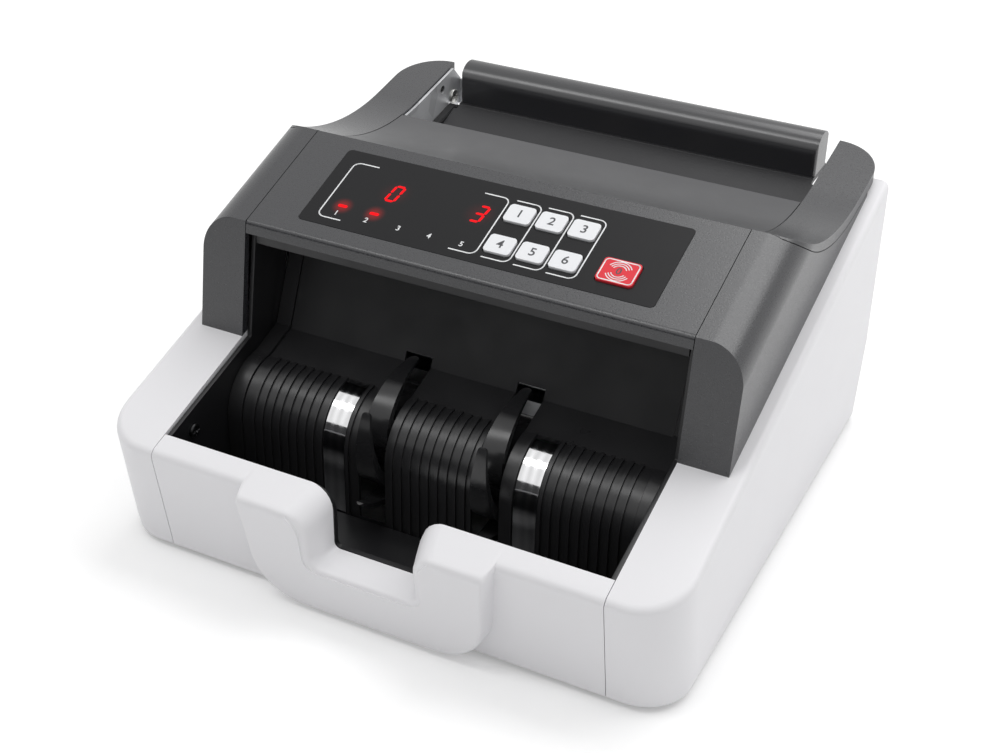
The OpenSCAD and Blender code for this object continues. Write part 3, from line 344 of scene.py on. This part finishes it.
# Casing: two white side mouldings, the front panel with its notch and the back panel.
# White plastic with a fine satin grain; the screws come up through the base plate.
casing_white = moulded("white casing plastic", (0.8, 0.795, 0.815), 0.42, 0.35, 0.008, 0.012)
zinc_screw = galvanised("zinc screw", (0.6, 0.6, 0.58), 2)
dress("side_casing_left", casing_white)
dress("side_casing_right", casing_white)
dress("front_panel", casing_white)
dress("rear_panel", casing_white, 0.4)
dress("casing_screws", zinc_screw, 0.3)


# Back panel fittings: mains inlet, and a rocker switch in its box.
# All black gloss plastic; the inlet's three blades are part of its moulding here.
fitting_black = moulded("black fitting plastic", (0.016, 0.016, 0.017), 0.38, 0.3, 0.006)
dress("mains_inlet", fitting_black, 0.5)
dress("switch_body", fitting_black, 0.5)
dress("power_rocker", fitting_black, 0.4)


# Shoulders: dark grey mouldings, each a leg, an outer side and a rounded top edge.
# Spark-textured plastic: an even fine grain that breaks up the light.
def spark_grained(name, colour, rough, grain_mm, grain_depth_mm):
    finish, tree, shader, place = new_finish(name)
    grain = speckle(tree, place, 1 / (grain_mm * MM), 2)
    darker = [0.72 * c for c in colour]
    paler = [1.28 * c for c in colour]
    feed(tree, two_tone(tree, between(tree, grain, 0, 1), darker, paler), shader, "Base Color")
    feed(tree, between(tree, grain, rough - 0.1, rough + 0.1), shader, "Roughness")
    shader.inputs["Specular IOR Level"].default_value = 0.8
    raised(tree, shader, grain, grain_depth_mm)
    return finish


shoulder_grey = spark_grained("charcoal grained plastic", (0.024, 0.0245, 0.028), 0.31, 0.6, 0.04)
dress("shoulder_left", shoulder_grey, 1.2)
dress("shoulder_right", shoulder_grey, 1.2)


# Control cover: the sloped panel between the shoulders, in the same grained plastic.
# Its lip runs straight across above the mouth.
dress("control_cover", shoulder_grey, 1.0)


# Display film: black printed film let into the cover, with windows for the keys.
# White lines group the display and the key columns; digits and lamps shine through, with a painted red glow
# on the film around them.
def set_shine(finish, level):
    finish.node_tree.nodes["Principled BSDF"].inputs["Specular IOR Level"].default_value = level


film_black = moulded("black printed film", (0.006, 0.006, 0.007), 0.4, 0.25, 0.004)
set_shine(film_black, 0.2)
dress("display_overlay", film_black)
lamp_block = moulded("dark red lamp block", (0.1, 0.008, 0.008), 0.4, 0.5, 0.005)
dress("digit_display", lamp_block)
PANEL_DEG = 18
FILM_FROM_LIP = 8
FILM_TOP = 0.1
FILM_THICK = 0.5
tilt = Matrix.Rotation(math.radians(PANEL_DEG), 4, "X")
film_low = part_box("display_overlay")[0]
panel_y = film_low.y - (tilt @ Vector((0, FILM_FROM_LIP, FILM_TOP)) * MM).y
panel_z = film_low.z - (tilt @ Vector((0, FILM_FROM_LIP, FILM_TOP - FILM_THICK)) * MM).z
PANEL = Matrix.Translation((0, panel_y, panel_z)) @ tilt @ Matrix.Scale(MM, 4)


def paint(name, colour, rough, glow=0.0):
    finish, tree, shader, place = new_finish(name)
    darker = [0.94 * c for c in colour]
    feed(tree, two_tone(tree, speckle(tree, place, 900), darker, colour), shader, "Base Color")
    grit = speckle(tree, place, 700)
    feed(tree, between(tree, grit, rough - 0.05, rough + 0.05), shader, "Roughness")
    if glow:
        shader.inputs["Emission Color"].default_value = (*colour, 1)
        shader.inputs["Emission Strength"].default_value = glow
    return finish


def prints(name, outlines, base, thick, finish, body):
    bm = bmesh.new()
    for outline in outlines:
        low = [bm.verts.new(PANEL @ Vector((x, y, base))) for x, y in outline]
        high = [bm.verts.new(PANEL @ Vector((x, y, base + thick))) for x, y in outline]
        bm.faces.new(high)
        bm.faces.new(low[::-1])
        for i in range(len(outline)):
            k = (i + 1) % len(outline)
            bm.faces.new((low[i], low[k], high[k], high[i]))
    bmesh.ops.recalc_face_normals(bm, faces=bm.faces)
    mesh = bpy.data.meshes.new(name)
    bm.to_mesh(mesh)
    bm.free()
    add_piece(name, mesh, finish, body)


def line_quads(points, width):
    quads = []
    for a, b in zip(points, points[1:]):
        a, b = Vector(a), Vector(b)
        along = (b - a).normalized()
        side = Vector((-along.y, along.x)) * width / 2
        over = along * width * 0.2
        quads.append([a - over - side, b + over - side, b + over + side, a - over + side])
    return [[(p.x, p.y) for p in q] for q in quads]


def corner_arc(cx, cy, r, start, end, steps=6):
    angles = [math.radians(start + (end - start) * i / steps) for i in range(steps + 1)]
    return [(cx + r * math.cos(a), cy + r * math.sin(a)) for a in angles]


def bracket(x_open, x_side, y_low, y_high, r=3.0):
    s = 1 if x_side > x_open else -1
    cx = x_side - s * r
    top = corner_arc(cx, y_high - r, r, 90, 90 - 90 * s)
    foot = corner_arc(cx, y_low + r, r, -90 + 90 * s, -90)
    return [(x_open, y_high)] + top + foot + [(x_open, y_low)]


white_print = paint("white panel print", (0.82, 0.83, 0.84), 0.5)
INK = 0.03
PRINT_LINE = 0.55
LINES_LOW = 12.0
LINES_HIGH = 44.4
DISPLAY_LINE = (-58, -68.8)
DISPLAY_UP = 0.2
COLUMN_LINES = ((-10.0, 1.1), (4.0, 15.2), (17.5, 28.8), (31.0, 42.3))
lines = line_quads(bracket(*DISPLAY_LINE, LINES_LOW + DISPLAY_UP, LINES_HIGH + DISPLAY_UP), PRINT_LINE)
for x_open, x_side in COLUMN_LINES:
    lines += line_quads(bracket(x_open, x_side, LINES_LOW, LINES_HIGH), PRINT_LINE)
prints("panel_lines", lines, FILM_TOP, INK, white_print, "casing")


def segment_digit(shown, cx, cy, w, h, t, slant):
    x0, x1, y0, y1, ym = -w / 2, w / 2, -h / 2, h / 2, 0.0
    ends = {
        "a": ((x0, y1), (x1, y1)),
        "b": ((x1, y1), (x1, ym)),
        "c": ((x1, ym), (x1, y0)),
        "d": ((x0, y0), (x1, y0)),
        "e": ((x0, ym), (x0, y0)),
        "f": ((x0, y1), (x0, ym)),
        "g": ((x0, ym), (x1, ym)),
    }
    shapes = []
    for key in shown:
        a, b = (Vector(p) for p in ends[key])
        along = (b - a).normalized()
        side = Vector((-along.y, along.x)) * t / 2
        gap = along * t * 0.12
        tip = along * t / 2
        a, b = a + gap, b - gap
        ring = [a, a + tip - side, b - tip - side, b, b - tip + side, a + tip + side]
        shapes.append([(cx + p.x + p.y * slant, cy + p.y) for p in ring])
    return shapes


def soft_bar(cx, cy, w, h, steps=5):
    r = h / 2
    right = corner_arc(cx + w / 2 - r, cy, r, -90, 90, steps)
    left = corner_arc(cx - w / 2 + r, cy, r, 90, 270, steps)
    return right + left


lamp_red = paint("lit red lamp", (0.75, 0.006, 0.01), 0.4, 0.6)
set_shine(lamp_red, 0.05)
LAMP_INK = 0.04
ZERO = "abcdef"
THREE = "abcdg"
DIGITS = ((ZERO, -44.2, 32.7), (THREE, -6.8, 32.9))
DIGIT_WIDE = 3.9
DIGIT_HIGH = 8.6
DIGIT_STROKE = 1.1
DIGIT_SLANT = 0.14
LAMP_PLACES = ((-61.1, 19.9), (-46.7, 19.8))
LAMP_WIDE = 4.2
LAMP_HIGH = 1.5
digits = []
for shown, x, y in DIGITS:
    digits += segment_digit(shown, x, y, DIGIT_WIDE, DIGIT_HIGH, DIGIT_STROKE, DIGIT_SLANT)
prints("lit_digits", digits, FILM_TOP, LAMP_INK, lamp_red, "casing")
dashes = [soft_bar(x, y, LAMP_WIDE, LAMP_HIGH) for x, y in LAMP_PLACES]
prints("lit_lamps", dashes, FILM_TOP, LAMP_INK, lamp_red, "casing")


# Painted glow: the film's red emission fades out with distance from each digit and lamp centre.
def red_halo(finish, places):
    tree = finish.node_tree
    shader = tree.nodes["Principled BSDF"]
    place = tree.nodes.new("ShaderNodeTexCoord").outputs["Object"]
    total = None
    for x, y, reach_mm, strength in places:
        away = tree.nodes.new("ShaderNodeVectorMath")
        away.operation = "DISTANCE"
        away.inputs[1].default_value = PANEL @ Vector((x, y, FILM_TOP))
        tree.links.new(place, away.inputs[0])
        fade = tree.nodes.new("ShaderNodeMapRange")
        fade.interpolation_type = "SMOOTHERSTEP"
        fade.inputs["From Max"].default_value = reach_mm * MM
        fade.inputs["To Min"].default_value = strength
        fade.inputs["To Max"].default_value = 0.0
        tree.links.new(away.outputs["Value"], fade.inputs["Value"])
        if total is None:
            total = fade.outputs["Result"]
        else:
            both = tree.nodes.new("ShaderNodeMath")
            tree.links.new(total, both.inputs[0])
            tree.links.new(fade.outputs["Result"], both.inputs[1])
            total = both.outputs["Value"]
    shader.inputs["Emission Color"].default_value = (1, 0.02, 0.015, 1)
    tree.links.new(total, shader.inputs["Emission Strength"])


DIGIT_HALO = (8.5, 0.03)
LAMP_HALO = (5.5, 0.22)
digit_halos = [(x, y, *DIGIT_HALO) for shown, x, y in DIGITS]
lamp_halos = [(x, y, *LAMP_HALO) for x, y in LAMP_PLACES]
red_halo(film_black, digit_halos + lamp_halos)


# Keys: six off-white keys and a larger red one, each moving in its own window of the film.
# Soft silicone caps with a rounded edge and plain numbers printed on top.
key_white = moulded("off-white key silicone", (0.79, 0.8, 0.82), 0.5, 0.3, 0.006, 0.02)
key_red = moulded("red key silicone", (0.72, 0.034, 0.05), 0.45, 0.3, 0.006, 0.03)
set_shine(key_red, 0.25)
key_ink = paint("dark key ink", (0.06, 0.062, 0.068), 0.5)
for number in range(1, 7):
    dress("key_%d" % number, key_white, 0.35)
dress("key_red", key_red, 0.4)
KEY_TOP = 0.9
KEY_X = (8.5, 22.05, 35.6)
KEY_ROWS = (37.0, 19.5)
NUMBER_INK = 0.02


def numeral(name, text, x, y, base, height, finish, body, slot):
    curve = bpy.data.curves.new(name, "FONT")
    curve.body = text
    curve.size = height
    curve.align_x = "CENTER"
    curve.align_y = "CENTER"
    curve.extrude = NUMBER_INK
    curve.offset = 0.012 * height
    holder = bpy.data.objects.new(name, curve)
    bpy.context.scene.collection.objects.link(holder)
    graph = bpy.context.evaluated_depsgraph_get()
    mesh = bpy.data.meshes.new_from_object(holder.evaluated_get(graph))
    bpy.data.objects.remove(holder)
    mesh.transform(PANEL @ Matrix.Translation((x, y, base + NUMBER_INK)))
    add_piece(name, mesh, finish, body)


KEY_NUMBER = 5.8
RED_NUMBER = 4.4
for number in range(1, 7):
    row, column = divmod(number - 1, 3)
    key = "key_%d" % number
    x, y = KEY_X[column], KEY_ROWS[row]
    numeral(key + "_number", str(number), x, y, KEY_TOP, KEY_NUMBER, key_ink, key, "key_plastic")
RED_KEY = (56.7, 20.5)
RED_SIZE = (13.7, 10.7)
RED_CORNER = 1.6
RED_BORDER = 0.5
ARC_RADII = (2.9, 3.9, 4.9)
ARC_STARTS = (28, 208)
ARC_SWEEP = 124
ARC_LINE = 0.42


def key_border(cx, cy, w, h, r):
    path = []
    for sx, sy, start in ((1, 1, 0), (-1, 1, 90), (-1, -1, 180), (1, -1, 270)):
        path += corner_arc(cx + sx * (w / 2 - r), cy + sy * (h / 2 - r), r, start, start + 90)
    return path + path[:1]


red_marks = line_quads(key_border(*RED_KEY, *RED_SIZE, RED_CORNER), RED_BORDER)
for radius in ARC_RADII:
    for start in ARC_STARTS:
        red_marks += line_quads(corner_arc(*RED_KEY, radius, start, start + ARC_SWEEP, 12), ARC_LINE)
prints("key_red_marks", red_marks, KEY_TOP, INK, white_print, "key_red")
numeral("key_red_number", "0", *RED_KEY, KEY_TOP, RED_NUMBER, key_ink, "key_red", "red_key_plastic")
LAMP_NUMBER = 3.6
LAMP_NUMBER_X = (-61.7, -48.2, -33.7, -20.2, -6.2)
LAMP_NUMBER_Y = 15.5
for number, x in enumerate(LAMP_NUMBER_X, 1):
    name = "lamp_number_%d" % number
    numeral(name, str(number), x, LAMP_NUMBER_Y, FILM_TOP, LAMP_NUMBER, white_print, "casing", "key_plastic")


# Ramp and arms: one hollow form from the panel's crest to the hopper.
# Paper slides down the ramp, so it is smooth; the arms are grained like the shoulders.
ramp_grey = moulded("smooth charcoal plastic", (0.03, 0.0305, 0.034), 0.36, 0.35, 0.002, 0.03)
set_shine(ramp_grey, 0.7)
dress("hopper_ramp", ramp_grey, 0.3)
dress("hopper_arm_left", shoulder_grey, 0.4)
dress("hopper_arm_right", shoulder_grey, 0.4)


# Hopper: dark floor that slopes to the feed rollers, the glossy bar behind it, and the bracket.
# The bracket is dull zinc with a screw and a folded tab at the bar's end; a black disc in its hole is
# painted shade that keeps the hole dark.
# Black rubber blocks in the gaps between bracket, floor and bar are painted shade that keeps those gaps
# dark.
floor_grey = moulded("dark hopper plastic", (0.03, 0.03, 0.032), 0.45, 0.7, 0.06)
set_shine(floor_grey, 0.3)
bar_grey = moulded("glossy bar plastic", (0.03, 0.03, 0.033), 0.24, 0.6, 0.003)
set_shine(bar_grey, 0.8)
dress("hopper_floor", floor_grey, 0.3)
dress("hopper_back_bar", bar_grey, 0.6)
dull_zinc = galvanised("dull zinc sheet", (0.72, 0.73, 0.75), 9, 0.45)
dress("hopper_bracket", dull_zinc, 0.15)
BRACKET_SHEET = 1.2
BRACKET_SCREW_R = 3.5
BRACKET_SCREW_Y = 117.2
BRACKET_SCREW_Z = 111.4
# Painted shade: a black disc set just inside the bracket's hole so that the hole stays dark.
SHADE_DISC_R = 1.9
SHADE_DISC_IN = 0.9
SHADE_DISC_FROM_BAR = 7
SHADE_DISC_Z = 118.9
bracket_low, bracket_high = (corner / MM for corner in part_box("hopper_bracket"))
bar_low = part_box("hopper_back_bar")[0] / MM
bracket_face = bracket_low.x + BRACKET_SHEET
screw_at = (bracket_face, BRACKET_SCREW_Y, BRACKET_SCREW_Z)
cross_screw("bracket_screw", screw_at, (1, 0, 0), BRACKET_SCREW_R, zinc_screw)
shade_disc_at = (bracket_face - SHADE_DISC_IN, bar_low.y - SHADE_DISC_FROM_BAR, SHADE_DISC_Z)
cross_screw("bracket_hole_shade_disc", shade_disc_at, (1, 0, 0), SHADE_DISC_R, tray_black)


def side_block(name, outline, x0, x1, edge_mm, finish):
    bm = bmesh.new()
    near = [bm.verts.new((x0 * MM, y * MM, z * MM)) for y, z in outline]
    far = [bm.verts.new((x1 * MM, y * MM, z * MM)) for y, z in outline]
    bm.faces.new(near)
    bm.faces.new(far[::-1])
    for i in range(len(outline)):
        k = (i + 1) % len(outline)
        bm.faces.new((near[k], near[i], far[i], far[k]))
    bmesh.ops.recalc_face_normals(bm, faces=bm.faces)
    edge = edge_mm * MM
    bmesh.ops.bevel(bm, geom=bm.edges[:], offset=edge, segments=2, affect="EDGES", clamp_overlap=True)
    mesh = bpy.data.meshes.new(name)
    bm.to_mesh(mesh)
    bm.free()
    smooth_shaded(add_piece(name, mesh, finish, "casing"))


def side_box(y0, y1, z0, z1):
    return [(y0, z0), (y1, z0), (y1, z1), (y0, z1)]


SHADE_BLOCK_LONG = 26
SHADE_BLOCK_NOTCH = 7.4
SHADE_BLOCK_FALL = 4.5
SHADE_BLOCK_ROOM = 0.1
TOUCH = 0.05
HEEL_LONG = 3.6
BAR_ROOM = 0.4
UNDER_BAR = 1
FLANGE_HIGH = 10
TAB_LIFT = 0.7
TAB_TOP = 13
shade_block_side = -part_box("hopper_floor")[1].x / MM
panel_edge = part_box("rear_panel")[1].z / MM
step = bracket_low.z + FLANGE_HIGH
ledge = panel_edge + SHADE_BLOCK_ROOM
shade_block_top = bar_low.z - UNDER_BAR
shade_block_back = bar_low.y - BAR_ROOM
shade_block = [
    (bar_low.y - SHADE_BLOCK_LONG, step),
    (bar_low.y - SHADE_BLOCK_NOTCH, step),
    (bar_low.y - SHADE_BLOCK_NOTCH, ledge),
    (shade_block_back, ledge),
    (shade_block_back, shade_block_top),
    (bar_low.y - SHADE_BLOCK_LONG, shade_block_top - SHADE_BLOCK_FALL),
]
heel = side_box(bar_low.y - HEEL_LONG, shade_block_back, ledge, shade_block_top)
tab = side_box(bracket_high.y - BRACKET_SHEET, bracket_high.y, panel_edge + TAB_LIFT, panel_edge + TAB_TOP)
shade_block_end = shade_block_side - SHADE_BLOCK_ROOM
# Painted shade: both black rubber blocks fill gaps so that those gaps stay dark.
side_block("hopper_side_shade_block", shade_block, bracket_face + SHADE_BLOCK_ROOM, shade_block_end, 0.4, black_rubber)
heel_from = shade_block_end - TOUCH
side_block("hopper_shade_block_heel", heel, heel_from, bar_low.x - SHADE_BLOCK_ROOM, 0.2, black_rubber)
side_block("bracket_tab", tab, bracket_face, bar_low.x - TOUCH, 0.15, dull_zinc)


# Studio: white floor, pale surroundings brighter above, two soft lamps, and a dark card in front.
# The card is only seen in reflections, so that black surfaces facing the front stay black.
# The camera stands where the photographer's stood, a step from the counter.
def seen_as_background(tree):
    path = tree.nodes.new("ShaderNodeLightPath")
    seen = path.outputs["Is Camera Ray"]
    for kind in ("Is Glossy Ray", "Is Transmission Ray"):
        either = tree.nodes.new("ShaderNodeMath")
        either.operation = "MAXIMUM"
        tree.links.new(seen, either.inputs[0])
        tree.links.new(path.outputs[kind], either.inputs[1])
        seen = either.outputs["Value"]
    return seen


NEAR_FLOOR = 0.4
FAR_FLOOR = 2.2
NEAR_LIFT = 0.2
FAR_LIFT = 0.55
FLOOR_HALF = 6


def stage_sheet(name, corners, finish):
    mesh = bpy.data.meshes.new(name)
    mesh.from_pydata(corners, [], [(0, 1, 2, 3)])
    mesh.materials.append(finish)
    sheet = bpy.data.objects.new(name, mesh)
    bpy.context.scene.collection.objects.link(sheet)
    return sheet


def pale_floor():
    finish, tree, shader, place = new_finish("white studio floor")
    clouds = speckle(tree, place, 6)
    feed(tree, two_tone(tree, clouds, (0.9, 0.9, 0.9), (0.92, 0.92, 0.92)), shader, "Base Color")
    shader.inputs["Roughness"].default_value = 0.7
    shader.inputs["Specular IOR Level"].default_value = 0.1
    lift = tree.nodes.new("ShaderNodeEmission")
    both = tree.nodes.new("ShaderNodeAddShader")
    share = tree.nodes.new("ShaderNodeMath")
    share.operation = "MULTIPLY"
    away = tree.nodes.new("ShaderNodeVectorMath")
    away.operation = "LENGTH"
    tree.links.new(place, away.inputs[0])
    lift_by_distance = tree.nodes.new("ShaderNodeMapRange")
    lift_by_distance.inputs["From Min"].default_value = NEAR_FLOOR
    lift_by_distance.inputs["From Max"].default_value = FAR_FLOOR
    lift_by_distance.inputs["To Min"].default_value = NEAR_LIFT
    lift_by_distance.inputs["To Max"].default_value = FAR_LIFT
    tree.links.new(away.outputs["Value"], lift_by_distance.inputs["Value"])
    tree.links.new(lift_by_distance.outputs["Result"], share.inputs[1])
    tree.links.new(seen_as_background(tree), share.inputs[0])
    tree.links.new(share.outputs["Value"], lift.inputs["Strength"])
    tree.links.new(shader.outputs["BSDF"], both.inputs[0])
    tree.links.new(lift.outputs["Emission"], both.inputs[1])
    tree.links.new(both.outputs["Shader"], tree.nodes["Material Output"].inputs["Surface"])
    return finish


floor_corners = [(x * FLOOR_HALF, y * FLOOR_HALF, 0) for x, y in ((-1, -1), (1, -1), (1, 1), (-1, 1))]
stage_sheet("studio_floor", floor_corners, pale_floor())

CARD_LEFT = -2.5
CARD_RIGHT = 1.8
CARD_Y = -1.6
CARD_HIGH = 0.8
card_ends = ((CARD_LEFT, 0), (CARD_RIGHT, 0), (CARD_RIGHT, CARD_HIGH), (CARD_LEFT, CARD_HIGH))
card = stage_sheet("front_card", [(x, CARD_Y, z) for x, z in card_ends], tray_black)
card.visible_camera = False
card.visible_diffuse = False
card.visible_shadow = False

world = bpy.data.worlds.new("pale studio")
bpy.context.scene.world = world
world.use_nodes = True
sky = world.node_tree
sky_light = sky.nodes["Background"]
sky_light.inputs["Color"].default_value = (1, 1, 1, 1)
BRIGHT_SIDE = (0.05, 0.2, 0.98)
DIM_SKY = 0.3
BRIGHT_SKY = 0.68
toward = sky.nodes.new("ShaderNodeVectorMath")
toward.operation = "DOT_PRODUCT"
toward.inputs[1].default_value = BRIGHT_SIDE
sky.links.new(sky.nodes.new("ShaderNodeTexCoord").outputs["Generated"], toward.inputs[0])
sky_level = sky.nodes.new("ShaderNodeMapRange")
sky_level.inputs["From Min"].default_value = -1.0
sky_level.inputs["To Min"].default_value = DIM_SKY
sky_level.inputs["To Max"].default_value = BRIGHT_SKY
sky.links.new(toward.outputs["Value"], sky_level.inputs["Value"])
sky_mix = sky.nodes.new("ShaderNodeMix")
sky_mix.inputs["B"].default_value = 1.0
sky.links.new(seen_as_background(sky), sky_mix.inputs["Factor"])
sky.links.new(sky_level.outputs["Result"], sky_mix.inputs["A"])
sky.links.new(sky_mix.outputs["Result"], sky_light.inputs["Strength"])


def soft_lamp(name, place, aim, wide, deep, power):
    lamp = bpy.data.lights.new(name, "AREA")
    lamp.shape = "RECTANGLE"
    lamp.size = wide
    lamp.size_y = deep
    lamp.energy = power
    holder = bpy.data.objects.new(name, lamp)
    holder.location = place
    holder.rotation_euler = (Vector(aim) - Vector(place)).to_track_quat("-Z", "Y").to_euler()
    bpy.context.scene.collection.objects.link(holder)


soft_lamp("overhead softbox", (0.55, 0.56, 1.34), (0.55, 0, 0.05), wide=1.7, deep=0.8, power=11.5)
soft_lamp("front softbox", (-0.45, -0.5, 1.3), (-0.45, 0, 0.05), wide=0.8, deep=0.3, power=3)

CAMERA_PLACE = (0.2507, -0.5285, 0.4117)
CAMERA_TURN = math.radians(26.29)
CAMERA_LOOK_DOWN = math.radians(31.13)
CAMERA_ROLL = math.radians(1.08)
CAMERA_LENS = 59.0
CAMERA_SHIFT = (0.0063, -0.0262)
NEAREST_SEEN = 0.01
back = Vector((math.sin(CAMERA_TURN) * math.cos(CAMERA_LOOK_DOWN),
               -math.cos(CAMERA_TURN) * math.cos(CAMERA_LOOK_DOWN),
               math.sin(CAMERA_LOOK_DOWN)))
level = Vector((math.cos(CAMERA_TURN), math.sin(CAMERA_TURN), 0))
right = level * math.cos(CAMERA_ROLL) + back.cross(level) * math.sin(CAMERA_ROLL)
upward = back.cross(right)
lens = bpy.data.cameras.new("camera")
lens.lens = CAMERA_LENS
lens.shift_x, lens.shift_y = CAMERA_SHIFT
lens.clip_start = NEAREST_SEEN
camera = bpy.data.objects.new("camera", lens)
turned = Matrix((right, upward, back)).transposed().to_4x4()
camera.matrix_world = Matrix.Translation(CAMERA_PLACE) @ turned
bpy.context.scene.collection.objects.link(camera)
bpy.context.scene.camera = camera
bpy.context.scene.view_settings.view_transform = "Standard"
